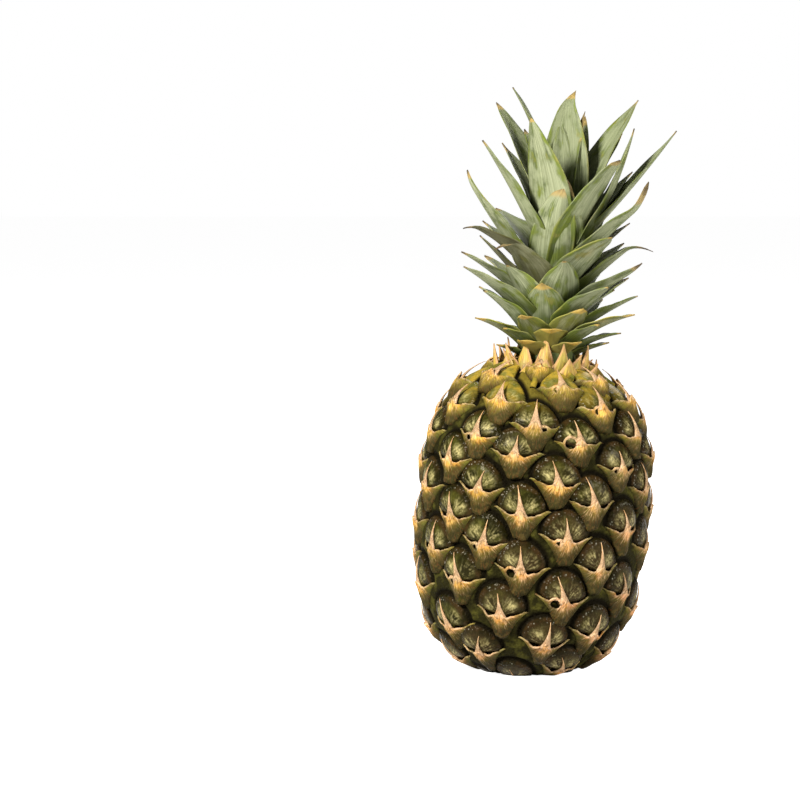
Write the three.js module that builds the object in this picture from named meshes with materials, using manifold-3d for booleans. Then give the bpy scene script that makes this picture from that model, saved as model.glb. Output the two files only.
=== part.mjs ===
// A whole pineapple with its crown, standing on the flat cut under its fruit, in millimetres with +Z up.
// The front of the fruit faces -Y, and its axis leans a little towards +X, as grown fruit often does.
import * as THREE from "three";
import { mergeVertices } from "three/addons/utils/BufferGeometryUtils.js";
import Module from "manifold-3d";

const wasm = await Module();
wasm.setup();

// Driving sizes of the fruit
const FRUIT_RADIUS = 59.6; // to the tops of the eyes, at the waist
const FRUIT_TOP = 160; // the seat of the crown, measured along the fruit's axis
const WAIST = 85; // the height of the widest place
const CLOSED_TOP = 162; // where the round of the shoulder would meet the axis
const CLOSED_FOOT = -3; // where the round of the underside would meet the axis
const LEAN = THREE.MathUtils.degToRad(5);
const SINK = 1.5; // how far the foot of the axis lies under the cut
const STAND = new THREE.Vector3(-13.1, 0, 0); // the foot of the axis, from the middle of the whole plant

// The spiral of the eyes: each next eye is turned by the divergence and sits a step higher
const DIVERGENCE = 99.502; // degrees, which gives 7 rows one way round and 11 the other
const FIRST_TURN = -10; // degrees from the front to the eye of index 0
const EYE_MIDDLE = 88.8; // height of the eye of index 0
const EYE_STEP = 1.67; // rise from one eye to the next, at the waist
const STEP_LOSS = 0.0046; // how the rise shrinks towards the top
const LOWEST_EYE = -52;
const HIGHEST_EYE = 46;
const ROWS_RIGHT = 7;
const ROWS_LEFT = 11;
const TURN_RIGHT = ROWS_LEFT * DIVERGENCE - 3 * 360; // degrees from an eye to the next one up to the right
const TURN_LEFT = ROWS_RIGHT * DIVERGENCE - 2 * 360; // and to the next one up to the left
const CELL = 6; // mesh steps across an eye, each way
const MM_PER_DEGREE = 1.04; // along the waist

// The relief of one eye
const RELIEF = 3.6; // how far the grooves lie under the tops
const DOME = { halfWidth: 12, halfHeight: 8.8, middle: 4.2, rise: 3.1 };
const BRACT = { halfWidth: 15, drop: 14, rise: 4.6 };
const SPIKE = { up: 5, upAtTop: 8, out: 0.8, outAtTop: 5 };
const TIPS_FROM = 8; // no dry points stand on the eyes under this height
const NECK = { count: 14, radius: 17.5, sunk: 8, tilt: 10, flatness: 0.4 };

// The crown
const CROWN_SLOPE = 0.09; // sideways run of the crown's stem for each mm of its height
const CROWN_STEM = [[0, 14.5], [30, 11.5], [62, 6], [76, 2.5]]; // height and radius
const SEAT = { radius: 16.5, gap: 0.3 };
const CROWN_STEM_END = 78;
const LEAF_SECTIONS = [0, 0.3, 0.55, 0.76, 0.92]; // shares of a leaf's length
const LEAF = { sunk: 3, spread: 0.92, raised: 0.42, rootThick: 1.3, tipThick: 0.7 };

// The stalk that the fruit grew on, cut off in a hollow under the fruit
const STALK = { radius: 11, top: 13, foot: 0.8, gap: 0.3, sides: 16 };

const clamp = THREE.MathUtils.clamp;
const smooth = (x, from, to) => THREE.MathUtils.smoothstep(x, from, to);
const rad = THREE.MathUtils.degToRad;
const draw = (k) => {
  // a fixed draw between 0 and 1 for the number k
  const s = Math.sin(k * 12.9898 + 78.233) * 43758.5453;
  return s - Math.floor(s);
};

// Between a geometry of three.js and a solid that can be joined and cut

function solidOf(geometry) {
  const bare = geometry.clone();
  bare.deleteAttribute("normal");
  bare.deleteAttribute("uv");
  const merged = mergeVertices(bare, 1e-4);
  return new wasm.Manifold(
    new wasm.Mesh({
      numProp: 3,
      vertProperties: merged.attributes.position.array,
      triVerts: new Uint32Array(merged.index.array),
    }),
  );
}

function geometryOf(solid) {
  const mesh = solid.getMesh();
  const geometry = new THREE.BufferGeometry();
  geometry.setAttribute("position", new THREE.BufferAttribute(mesh.vertProperties, 3));
  geometry.setIndex(new THREE.BufferAttribute(mesh.triVerts, 1));
  geometry.computeVertexNormals();
  return geometry;
}

function fromLists(points, triangles) {
  const geometry = new THREE.BufferGeometry();
  geometry.setAttribute("position", new THREE.Float32BufferAttribute(points.flat(), 3));
  geometry.setIndex(triangles.flat());
  return geometry;
}

// A joined solid without the hollows that were sealed in it and the scraps that were cut loose
function largestBody(solid) {
  return solid.decompose().reduce((largest, body) => (body.volume() > largest.volume() ? body : largest));
}

// A large block that holds everything above the level z of a frame that is turned by lean about Y
function blockAbove(z, lean) {
  const side = 600;
  const block = new THREE.BoxGeometry(side, side, side).translate(0, 0, side / 2);
  return solidOf(block.rotateY(lean).translate(0, 0, z));
}

// The fruit

// Radius of the smooth outside at a height along the axis
function outline(z) {
  const shoulder = clamp((z - WAIST) / (CLOSED_TOP - WAIST), 0, 1);
  const under = clamp((WAIST - z) / (WAIST - CLOSED_FOOT), 0, 1);
  return z > WAIST
    ? FRUIT_RADIUS * (1 - shoulder ** 3.1) ** 0.526
    : FRUIT_RADIUS * (1 - under ** 3) ** 0.385;
}

const eyeHeight = (index) => EYE_MIDDLE + EYE_STEP * index - STEP_LOSS * index * index;

// Height of the relief at u mm right and v mm above the middle of an eye, from the groove
function relief(u, v) {
  const across = Math.abs(u);
  const edge = -2.5 + 2.5 * smooth(across, 5, 13.5) + 3 * Math.exp(-((u / 2.2) ** 2));
  const keel = -BRACT.drop * (1 - (across / BRACT.halfWidth) ** 1.1);
  if (v > edge || across > BRACT.halfWidth) {
    const out = (u / DOME.halfWidth) ** 2 + ((v - DOME.middle) / DOME.halfHeight) ** 2;
    return DOME.rise * Math.sqrt(Math.max(0, 1 - out));
  }
  if (v < keel) return 0;
  const down = (edge - v) / (edge - keel);
  return BRACT.rise * (1 - across / (BRACT.halfWidth + 3)) * (1 - 0.7 * down ** 1.3);
}

// A point at a turn in degrees and a height along the axis, lying so many mm out from the smooth outside
function outside(turn, z, out) {
  const slope = (outline(clamp(z - 1, 0, FRUIT_TOP)) - outline(clamp(z + 1, 0, FRUIT_TOP))) / 2;
  const facing = Math.hypot(1, slope);
  const r = Math.max(2, outline(clamp(z, CLOSED_FOOT + 0.6, CLOSED_TOP - 0.4)) + out / facing);
  return [r * Math.sin(rad(turn)), -r * Math.cos(rad(turn)), z + (out * slope) / facing];
}

// A point of the rind, from i steps up to the right and j steps up to the left
function rindPoint(i, j) {
  const eyeI = Math.round(i / CELL);
  const eyeJ = Math.round(j / CELL);
  const p = i / CELL - eyeI;
  const q = j / CELL - eyeJ;
  const u = (TURN_RIGHT * p + TURN_LEFT * q) * MM_PER_DEGREE;
  const v = (ROWS_LEFT * p + ROWS_RIGHT * q) * EYE_STEP;
  const index = (ROWS_LEFT * i + ROWS_RIGHT * j) / CELL;
  const turn = FIRST_TURN + (TURN_RIGHT * i + TURN_LEFT * j) / CELL;
  const z = eyeHeight(index);
  const isTip = i - eyeI * CELL === 1 && j - eyeJ * CELL === 1;
  if (isTip && z > TIPS_FROM) {
    // the dry point of the bract stands out over the dome, and is longer on the young eyes at the top
    const young = smooth(index, 10, HIGHEST_EYE);
    const up = THREE.MathUtils.lerp(SPIKE.up, SPIKE.upAtTop, young);
    return outside(turn, z + up, THREE.MathUtils.lerp(SPIKE.out, SPIKE.outAtTop, young));
  }
  // the relief grows shallow where the rows close up round the stem and under the fruit
  const shallow = smooth(z, CLOSED_FOOT - 4, 12) * (0.45 + 0.55 * smooth(FRUIT_TOP + 3 - z, 0, 25));
  return outside(turn, z, (relief(u, v) - RELIEF) * shallow);
}

// The rind as one skin of small diamonds in step with the eyes, closed to the axis at both ends
function rindSkin() {
  const points = [];
  const numberOf = new Map();
  const pointNumber = (i, j) => {
    // seven steps right and eleven left end at the same place, one turn on
    const turns = Math.floor(i / (ROWS_RIGHT * CELL));
    const key = [i - turns * ROWS_RIGHT * CELL, j + turns * ROWS_LEFT * CELL];
    const name = key.join();
    if (!numberOf.has(name)) {
      numberOf.set(name, points.length);
      points.push(rindPoint(...key));
    }
    return numberOf.get(name);
  };
  const triangles = [];
  const half = CELL / 2;
  for (let index = LOWEST_EYE; index <= HIGHEST_EYE; index++) {
    // 11 * 2 - 7 * 3 is 1, so eye number index lies 2 * index right and 3 * index back
    const eyeI = 2 * index * CELL;
    const eyeJ = -3 * index * CELL;
    for (let i = eyeI - half; i < eyeI + half; i++) {
      for (let j = eyeJ - half; j < eyeJ + half; j++) {
        const corners = [[i, j], [i + 1, j], [i + 1, j + 1], [i, j + 1]].map((at) => pointNumber(...at));
        const [a, b, c, d] = corners;
        const proud = corners.map((n) => Math.hypot(points[n][0], points[n][1]));
        // the fold of each small diamond joins its two prouder corners, so ridges stay sharp
        if (proud[0] + proud[2] > proud[1] + proud[3]) triangles.push([a, b, c], [a, c, d]);
        else triangles.push([a, b, d], [b, c, d]);
      }
    }
  }
  closeToAxis(points, triangles);
  return fromLists(points, triangles);
}

// Joins each open edge to a point on the axis, above the top edge or below the bottom one
function closeToAxis(points, triangles) {
  const open = new Map();
  for (const [a, b, c] of triangles) {
    for (const [from, to] of [[a, b], [b, c], [c, a]]) {
      if (!open.delete(to + "," + from)) open.set(from + "," + to, [from, to]);
    }
  }
  const foot = points.push([0, 0, -30]) - 1;
  const head = points.push([0, 0, FRUIT_TOP + 6]) - 1;
  for (const [from, to] of open.values()) {
    triangles.push([to, from, points[from][2] > WAIST ? head : foot]);
  }
}

// A small upright bract at the neck of the fruit, under the lowest leaves
function neckBract(k) {
  const { count, radius, sunk, tilt, flatness } = NECK;
  const turn = FIRST_TURN + (360 / count) * (k + 0.5 * (draw(k) - 0.5));
  const high = 16 + 5 * draw(k + 40);
  const wide = 6.2 + 1.6 * draw(k + 80);
  const cone = new THREE.ConeGeometry(wide, high, 5, 1).rotateX(Math.PI / 2).translate(0, 0, high / 2);
  cone.scale(1, flatness, 1).rotateX(rad(tilt)).translate(0, -radius, FRUIT_TOP - sunk);
  return solidOf(cone.rotateZ(rad(turn)));
}

function makeFruit() {
  let fruit = solidOf(rindSkin());
  for (let k = 0; k < NECK.count; k++) fruit = fruit.add(neckBract(k));
  const crownSeat = new THREE.CylinderGeometry(SEAT.radius, SEAT.radius, 60, 24).rotateX(Math.PI / 2);
  const stalkHole = new THREE.CylinderGeometry(
    STALK.radius + STALK.gap,
    STALK.radius + STALK.gap,
    2 * (STALK.top + STALK.gap),
    STALK.sides,
  ).rotateX(Math.PI / 2);
  // the cut under the fruit is level, so it is tilted in the fruit's own frame
  return largestBody(
    fruit
      .subtract(solidOf(crownSeat.translate(0, 0, FRUIT_TOP + 30)))
      .intersect(blockAbove(SINK, -LEAN))
      .subtract(solidOf(stalkHole.rotateY(-LEAN).translate(0, 0, SINK))),
  );
}

function makeStalk() {
  const { radius, top, foot, sides } = STALK;
  const cutEnd = [[0, foot + 0.6], [radius - 3, foot + 0.5], [radius - 0.8, foot], [radius, foot + 1]];
  const profile = [...cutEnd, [radius, top], [0, top]];
  const lathe = new THREE.LatheGeometry(profile.map(([r, z]) => new THREE.Vector2(r, z)), sides);
  return solidOf(lathe.rotateX(Math.PI / 2));
}

// The crown

// Leaves that show from the front, from the top of the crown down: degrees round from the front,
// height of the root, lean of the root from upright, reach and height of the tip, width, and for a
// broken tip the share of the width that is left there.
const FRONT_LEAVES = [
  [-130, 62, 26, 48, 131, 24],
  [-105, 66, 8, 31, 138, 16],
  [184, 62, 2, 17, 136, 27],
  [-44, 46, 10, 30, 122, 30],
  [-8, 36, 10, 18, 91, 30, 0.3],
  [54, 46, 14, 32, 101, 30, 0.45],
  [88, 46, 34, 33, 117, 22],
  [125, 60, 22, 44, 132, 25],
  [98, 52, 44, 56, 116, 21],
  [150, 70, 6, 17, 126, 10],
  [-160, 66, 2, 12, 121, 17],
  [-80, 50, 28, 44, 111, 20],
  [-72, 38, 44, 54, 95, 19],
  [-62, 35, 36, 55, 70, 22],
  [-95, 31, 42, 40, 63, 14],
  [-42, 28, 28, 42, 61, 24, 0.2],
  [66, 40, 36, 49, 83, 24, 0.35],
  [115, 36, 34, 41, 69, 15],
  [84, 30, 42, 43, 61, 21, 0.2],
  [38, 29, 22, 40, 63, 28],
  [62, 21, 46, 48, 48, 23, 0.3],
  [13, 17, 14, 30, 50, 24, 0.5],
  [-84, 24, 42, 49, 55, 19],
  [-68, 16, 42, 51, 48, 21],
  [-50, 15, 22, 34, 49, 22],
  [-17, 10, 18, 26, 40, 24],
  [42, 13, 34, 38, 38, 24],
  [72, 12, 52, 44, 33, 18, 0.25],
  [105, 18, 46, 33, 35, 15],
  [-95, 14, 42, 38, 37, 15],
  [-65, 9, 36, 40, 36, 17],
  [62, 6, 48, 46, 24, 19],
  [-72, 4, 42, 41, 22, 17],
  [-32, 4, 22, 31, 24, 20],
  [30, 4, 20, 29, 27, 23],
  [50, 3, 40, 31, 19, 19],
  [75, 3, 52, 37, 14, 14],
  [-1, 3, 24, 25, 17, 20],
  [-55, 3, 36, 30, 17, 16],
  [-34, 2, 50, 27, 11, 16],
  [33, 2, 52, 25, 10, 16],
  [-80, 2, 66, 27, 8, 10],
  [80, 2, 66, 31, 9, 11],
];
// The leaves of the back, and how they change with the height of the root: the lean of the root, the
// reach and height of the tip, and the width
const BACK_LEAVES = { count: 27, from: 108, sweep: 144, low: 3, high: 62 };
const BACK_SHAPE = {
  lean: [[3, 50], [16, 44], [32, 34], [62, 12]],
  reach: [[3, 31], [16, 43], [32, 45], [62, 34]],
  tip: [[3, 16], [16, 40], [32, 66], [62, 124]],
  width: [[3, 14], [16, 20], [32, 21], [62, 20]],
};

// The value at x on a line through the pairs of a list
function along(list, x) {
  const after = clamp(list.findIndex((pair) => pair[0] > x), 1, list.length - 1);
  const [x0, y0] = list[after - 1];
  const [x1, y1] = list[after];
  return y0 + ((y1 - y0) * (clamp(x, x0, x1) - x0)) / (x1 - x0);
}

function backLeaf(k) {
  const { count, from, sweep, low, high } = BACK_LEAVES;
  const golden = 0.618034;
  const root = low + (high - low) * (k / count);
  const turn = from + sweep * ((0.31 + golden * k) % 1);
  const vary = (n) => 0.93 + 0.14 * draw(k + 50 * n);
  return [turn, root, ...Object.values(BACK_SHAPE).map((list, n) => along(list, root) * vary(n))];
}

const stemRadius = (z) => along(CROWN_STEM, z);

// Share of the full width at a share s of the leaf's length: clasping at the root, pointed at the tip
function leafWidth(s, stout, blunt) {
  const root = 0.75 + 0.25 * Math.sin((Math.PI / 2) * clamp(s / 0.3, 0, 1));
  const tip = 1 - clamp((s - 0.3) / 0.7, 0, 1) ** (1.5 + 1.6 * stout);
  return root * Math.max(blunt, Math.max(0, tip) ** (1.05 - 0.5 * stout));
}

// A thick blade: two edges raised towards the crown's axis, and a rib on the top and underneath
function leafGeometry([turn, rootHeight, rootLean, reach, tipHeight, width, blunt = 0]) {
  const outward = new THREE.Vector3(Math.sin(rad(turn)), -Math.cos(rad(turn)), 0);
  const side = new THREE.Vector3(Math.cos(rad(turn)), Math.sin(rad(turn)), 0);
  const inPlane = (r, z) => outward.clone().multiplyScalar(r).setZ(z);
  const root = inPlane(stemRadius(rootHeight) - LEAF.sunk, rootHeight);
  const tip = inPlane(reach, tipHeight);
  const half = root.distanceTo(tip) / 2;
  const knee = root.clone().add(inPlane(half * Math.sin(rad(rootLean)), half * Math.cos(rad(rootLean))));
  const spine = new THREE.QuadraticBezierCurve3(root, knee, tip);
  const points = [];
  const triangles = [];
  for (const s of LEAF_SECTIONS) {
    const middle = spine.getPoint(s);
    const normal = spine.getTangent(s).cross(side).normalize();
    const w = (width / 2) * leafWidth(s, width / (2 * half), blunt);
    const thick = THREE.MathUtils.lerp(LEAF.rootThick, LEAF.tipThick, s);
    const corner = (across, up) => middle.clone().addScaledVector(side, across).addScaledVector(normal, up);
    const edge = [LEAF.spread * w, LEAF.raised * w];
    points.push(corner(-edge[0], edge[1]), corner(0, thick), corner(...edge), corner(0, -thick));
  }
  points.push(tip);
  const last = 4 * LEAF_SECTIONS.length;
  for (let k = 0; k < LEAF_SECTIONS.length - 1; k++) {
    for (let c = 0; c < 4; c++) {
      const a = 4 * k + c;
      const b = 4 * k + ((c + 1) % 4);
      // the diagonals run from the blade's edge to its rib on both faces
      if (c % 2 === 0) triangles.push([a, b, b + 4], [a, b + 4, a + 4]);
      else triangles.push([a, b, a + 4], [b, b + 4, a + 4]);
    }
  }
  for (let c = 0; c < 4; c++) triangles.push([last - 4 + c, last - 4 + ((c + 1) % 4), last]);
  triangles.push([2, 1, 0], [3, 2, 0]);
  return fromLists(points.map((p) => [p.x + CROWN_SLOPE * p.z, p.y, p.z]), triangles);
}

// The solid of a geometry, with its faces turned over where they point in
function facingOut(geometry) {
  const solid = solidOf(geometry);
  if (solid.volume() > 0) return solid;
  const index = geometry.index.array;
  for (let k = 0; k < index.length; k += 3) [index[k], index[k + 1]] = [index[k + 1], index[k]];
  return solidOf(geometry);
}

function crownStem() {
  const below = -4;
  const rising = CROWN_STEM.map(([z, r]) => [r, z]);
  const profile = [[0, below], [CROWN_STEM[0][1], below], ...rising, [0, CROWN_STEM_END]];
  const lathe = new THREE.LatheGeometry(profile.map(([r, z]) => new THREE.Vector2(r, z)), 12);
  const slope = new THREE.Matrix4().makeShear(0, 0, 0, 0, CROWN_SLOPE, 0);
  return facingOut(lathe.rotateX(Math.PI / 2).applyMatrix4(slope));
}

function makeCrown(fruitBelow) {
  const leaves = [...FRONT_LEAVES];
  for (let k = 0; k < BACK_LEAVES.count; k++) leaves.push(backLeaf(k));
  const solids = leaves.map((leaf) => facingOut(leafGeometry(leaf)));
  return largestBody(
    wasm.Manifold.union([crownStem(), ...solids])
      .intersect(blockAbove(SEAT.gap, LEAN))
      .subtract(fruitBelow),
  );
}

// The materials and the assembly

const rindMaterial = new THREE.MeshStandardMaterial({ color: 0x6b6a2c, roughness: 0.55, metalness: 0 });
const stalkMaterial = new THREE.MeshStandardMaterial({ color: 0xb79a63, roughness: 0.9, metalness: 0 });
const leafMaterial = new THREE.MeshStandardMaterial({ color: 0x7d8c64, roughness: 0.6, metalness: 0 });

const pineapple = new THREE.Group();
const leaning = new THREE.Group();
leaning.position.copy(STAND).setZ(-SINK);
leaning.rotation.y = LEAN;
pineapple.add(leaning);

const fruitSolid = makeFruit();
const fruit = new THREE.Mesh(geometryOf(fruitSolid), rindMaterial);
fruit.name = "fruit";
leaning.add(fruit);

const stalk = new THREE.Mesh(geometryOf(makeStalk()), stalkMaterial);
stalk.name = "cut_stalk";
stalk.position.copy(STAND);
pineapple.add(stalk);

// The crown stands upright on the leaning fruit, and its leaves clear the fruit by the gap all round
const crownPlace = new THREE.Vector3(0, 0, FRUIT_TOP).applyEuler(leaning.rotation).add(leaning.position);
const ways = [[1, 0, 0], [-1, 0, 0], [0, 1, 0], [0, -1, 0], [0, 0, 1], [0, 0, -1]];
const neck = fruitSolid.intersect(blockAbove(FRUIT_TOP - 15, 0));
const clearance = ways.map((way) => {
  const step = new THREE.Vector3(...way).multiplyScalar(SEAT.gap);
  const moved = new THREE.Matrix4().makeTranslation(leaning.position.clone().sub(crownPlace).add(step));
  return neck.transform(moved.multiply(new THREE.Matrix4().makeRotationY(LEAN)).elements);
});
const crown = new THREE.Mesh(geometryOf(makeCrown(wasm.Manifold.union(clearance))), leafMaterial);
crown.name = "crown";
crown.position.copy(crownPlace);
pineapple.add(crown);

export default pineapple;
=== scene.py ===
import math

import bmesh
import bpy
from mathutils import Matrix, Vector, noise


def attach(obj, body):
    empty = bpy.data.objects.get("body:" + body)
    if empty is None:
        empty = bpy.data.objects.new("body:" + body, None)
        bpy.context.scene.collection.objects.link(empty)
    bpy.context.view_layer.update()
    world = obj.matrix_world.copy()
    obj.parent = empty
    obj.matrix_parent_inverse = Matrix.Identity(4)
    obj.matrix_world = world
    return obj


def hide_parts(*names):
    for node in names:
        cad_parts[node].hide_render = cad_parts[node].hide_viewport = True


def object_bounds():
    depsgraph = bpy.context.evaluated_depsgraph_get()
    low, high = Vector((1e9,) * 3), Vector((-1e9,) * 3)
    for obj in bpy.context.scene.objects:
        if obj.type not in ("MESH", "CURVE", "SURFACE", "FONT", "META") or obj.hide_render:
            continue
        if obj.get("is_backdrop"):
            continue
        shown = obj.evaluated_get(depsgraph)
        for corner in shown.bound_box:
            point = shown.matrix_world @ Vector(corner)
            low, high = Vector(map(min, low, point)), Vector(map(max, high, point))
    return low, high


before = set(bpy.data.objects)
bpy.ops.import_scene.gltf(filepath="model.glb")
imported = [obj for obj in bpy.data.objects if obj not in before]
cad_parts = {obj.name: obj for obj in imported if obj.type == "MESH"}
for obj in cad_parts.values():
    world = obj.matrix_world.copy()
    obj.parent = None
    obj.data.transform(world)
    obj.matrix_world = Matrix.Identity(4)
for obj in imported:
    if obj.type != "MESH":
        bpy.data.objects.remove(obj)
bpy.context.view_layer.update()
MM = 0.001

# The studio: a wide sheet of white paper that the pineapple stands on, soft lamps from the upper left,
# the right and behind, and a camera on a tripod a little above the middle of the fruit.
CAMERA_AWAY = 1300
CAMERA_RISE = math.radians(5)
CAMERA_LENS = 114.7
AIM = Vector((-73.9, 0, 137.2))
# the lamps and the paper are placed in metres
LAMP_AIM = Vector((0, 0, 0.14))
PAPER_HALF = 15
AIR_LIGHT = 0.12
PAPER_GLOW = 0.9

camera = bpy.data.objects.new("camera", bpy.data.cameras.new("camera"))
camera.data.sensor_width = 36
camera.data.lens = CAMERA_LENS
camera.data.clip_start = 0.01
camera.data.clip_end = 50
back = Vector((0, -math.cos(CAMERA_RISE), math.sin(CAMERA_RISE)))
camera.location = (AIM + CAMERA_AWAY * back) * MM
camera.rotation_mode = "QUATERNION"
camera.rotation_quaternion = (-back).to_track_quat("-Z", "Y")
bpy.context.scene.collection.objects.link(camera)
bpy.context.scene.camera = camera
bpy.context.scene.view_settings.view_transform = "Standard"


def soft_lamp(name, place, size, watts, tint):
    """A square lamp at a place in metres that shines at the middle of the pineapple."""
    lamp = bpy.data.objects.new(name, bpy.data.lights.new(name, "AREA"))
    lamp.data.size = size
    lamp.data.energy = watts
    lamp.data.color = tint
    lamp.location = place
    lamp.rotation_mode = "QUATERNION"
    lamp.rotation_quaternion = (LAMP_AIM - Vector(place)).to_track_quat("-Z", "Y")
    bpy.context.scene.collection.objects.link(lamp)


soft_lamp("lamp_upper_left", (-0.92, -0.98, 0.95), 0.3, 56, (1, 0.97, 0.92))
soft_lamp("lamp_right", (1.2, -0.6, 0.5), 0.35, 19, (1, 0.97, 0.94))
soft_lamp("lamp_behind", (0.3, 1.1, 0.9), 0.8, 9, (1, 1, 1))

world = bpy.data.worlds.new("studio_air")
world.use_nodes = True
air = world.node_tree.nodes["Background"]
air.inputs["Color"].default_value = (1, 1, 1, 1)
seen = world.node_tree.nodes.new("ShaderNodeLightPath")
strength = world.node_tree.nodes.new("ShaderNodeMapRange")
strength.inputs["To Min"].default_value = AIR_LIGHT
strength.inputs["To Max"].default_value = 1.0
world.node_tree.links.new(seen.outputs["Is Camera Ray"], strength.inputs["Value"])
world.node_tree.links.new(strength.outputs[0], air.inputs["Strength"])
bpy.context.scene.world = world

paper = bmesh.new()
bmesh.ops.create_grid(paper, x_segments=1, y_segments=1, size=PAPER_HALF)
floor = bpy.data.objects.new("paper_floor", bpy.data.meshes.new("paper_floor"))
paper.to_mesh(floor.data)
paper.free()
paper_white = bpy.data.materials.new("paper_white")
paper_white.use_nodes = True
paper_surface = paper_white.node_tree.nodes["Principled BSDF"]
paper_surface.inputs["Base Color"].default_value = (0.7, 0.7, 0.7, 1)
paper_surface.inputs["Roughness"].default_value = 0.9
paper_surface.inputs["Emission Color"].default_value = (1, 1, 1, 1)
seen = paper_white.node_tree.nodes.new("ShaderNodeLightPath")
lift = paper_white.node_tree.nodes.new("ShaderNodeMath")
lift.operation = "MULTIPLY"
lift.inputs[1].default_value = PAPER_GLOW
paper_white.node_tree.links.new(seen.outputs["Is Camera Ray"], lift.inputs[0])
paper_white.node_tree.links.new(lift.outputs[0], paper_surface.inputs["Emission Strength"])
floor.data.materials.append(paper_white)
bpy.context.scene.collection.objects.link(floor)
floor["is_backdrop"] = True

# The rind: the fused eyes of the fruit, each a low waxy dome in a dark groove, in 7 spiral rows one way
# round and 11 the other. It is one grown skin, cut level underneath round the stalk's hollow.
FRUIT_RADIUS = 59.6
WAIST = 85
CLOSED_TOP = 162
CLOSED_FOOT = -3
FRUIT_TOP = 160
# how full and how round the outside closes in towards each end
TOP_POWERS = (3.1, 0.526)
FOOT_POWERS = (3, 0.385)
LEAN = math.radians(5)
SINK = 1.5
STAND_X = -13.1
DIVERGENCE = 99.502
FIRST_TURN = -10
EYE_MIDDLE = 88.8
EYE_STEP = 1.67
STEP_LOSS = 0.0046
LOWEST_EYE = -52
HIGHEST_EYE = 46
MM_PER_DEGREE = 1.04
RELIEF = 3.6
DOME_RISE = 3.4
DIMPLE = 0.35
SADDLE_RISE = 0.7
CREVICE_DEPTH = 1.1
# an eye's outline: half its width, the height of its widest place over the nose, and its reach from there
EYE_HALF = 13.4
EYE_WIDEST = 2.2
EYE_ARCH = 12.8
EYE_POCKET = 4.8
HOLLOW_RADIUS = 11.3
HOLLOW_TOP = 13.3
SKIN_COLUMNS = 360
SKIN_STEP = 1.02
LOWEST_ROW = -2.6
HIGHEST_ROW = 160.6

# grown rows wander: how far, in mm right and up, single eyes of the front lie from the even spiral
WANDER = {
    40: (0, 1), 36: (-2, -2), 33: (2, 3), 29: (-2, -2), 26: (2, 0), 25: (5, -4), 22: (-1, 2),
    18: (4, 0), 14: (5, -1), 11: (3, -2), 7: (2, -2), 0: (1, 0), -3: (-2, -1), -4: (2, 1),
    -11: (-2, 2), -14: (-3, -1), -15: (4, 2), -18: (-6, 3), -21: (-6, -1), -22: (0, 2),
    -25: (-6, 2), -32: (-7, -1), -33: (5, -2), -36: (3, 0),
}

in_fruit = Matrix.Translation((STAND_X, 0, -SINK)) @ Matrix.Rotation(LEAN, 4, "Y")


def draw(k):
    """A fixed draw between 0 and 1 for the number k."""
    s = math.sin(k * 12.9898 + 78.233) * 43758.5453
    return s - math.floor(s)


def clamp(x, low=0.0, high=1.0):
    return min(high, max(low, x))


def smooth(x, start, end):
    t = clamp((x - start) / (end - start))
    return t * t * (3 - 2 * t)


def outline(z):
    """Radius of the smooth outside at a height along the axis."""
    if z > WAIST:
        share = (z - WAIST) / (CLOSED_TOP - WAIST)
        full, rounded = TOP_POWERS
    else:
        share = (WAIST - z) / (WAIST - CLOSED_FOOT)
        full, rounded = FOOT_POWERS
    return FRUIT_RADIUS * (1 - clamp(share) ** full) ** rounded


def outside(turn, z, out):
    """A point at a turn in degrees and a height along the axis, so many mm out from the smooth outside."""
    slope = (outline(clamp(z - 1, 0, FRUIT_TOP)) - outline(clamp(z + 1, 0, FRUIT_TOP))) / 2
    facing = math.hypot(1, slope)
    r = max(2, outline(clamp(z, CLOSED_FOOT + 0.6, CLOSED_TOP - 0.4)) + out / facing)
    turn = math.radians(turn)
    return Vector((r * math.sin(turn), -r * math.cos(turn), z + out * slope / facing))


def wander(index):
    """How far an eye lies from the even spiral, in mm right and up."""
    if index in WANDER:
        return WANDER[index]
    return (2.4 * (draw(index + 31) - 0.5), 1.6 * (draw(index + 47) - 0.5))


def eye_height(index):
    return EYE_MIDDLE + EYE_STEP * index - STEP_LOSS * index * index


def eye_index(z):
    return (EYE_STEP - math.sqrt(EYE_STEP**2 - 4 * STEP_LOSS * (z - EYE_MIDDLE))) / (2 * STEP_LOSS)


def shallow(z):
    """How deep the relief is at a height: it fades where the rows close up at both ends."""
    return smooth(z, CLOSED_FOOT - 4, 12) * (0.7 + 0.3 * smooth(FRUIT_TOP + 3 - z, 0, 25))


def eye_spread(index):
    """How much wider and flatter than the even spiral the eyes grow where the fruit closes in."""
    z = clamp(eye_height(index), 6, 156)
    steep = (outline(z + 0.5) - outline(z - 0.5)) / 1.0
    wider = min(1.55, (FRUIT_RADIUS / outline(z)) ** 0.75)
    flatter = math.hypot(1, steep) * (EYE_STEP - 2 * STEP_LOSS * index) / EYE_STEP
    return wider, max(1, flatter) ** 0.8


def on_eye(index, u, v, out):
    """The standing place of a point u mm right and v mm up from an eye's nose, out mm over the groove."""
    off_u, off_v = wander(index)
    wider, flatter = eye_spread(index)
    z = eye_height(index + (v / flatter + off_v) / EYE_STEP)
    turn = FIRST_TURN + index * DIVERGENCE + (u * wider + off_u) / MM_PER_DEGREE
    place = in_fruit @ outside(turn, z, (out - RELIEF) * shallow(z))
    place.z = max(place.z, 0.02)
    return place * MM


def swell(u, v):
    """0 at the top of an eye's dome and 1 at its foot, with a pointed arch above and a pocket below."""
    side = (abs(u + 0.12 * v) / EYE_HALF) ** 1.9
    if v > EYE_WIDEST:
        return side + ((v - EYE_WIDEST) / EYE_ARCH) ** 1.75
    return side + ((EYE_WIDEST - v) / EYE_POCKET) ** 2.2 * smooth(abs(u), 1, 4)


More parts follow.
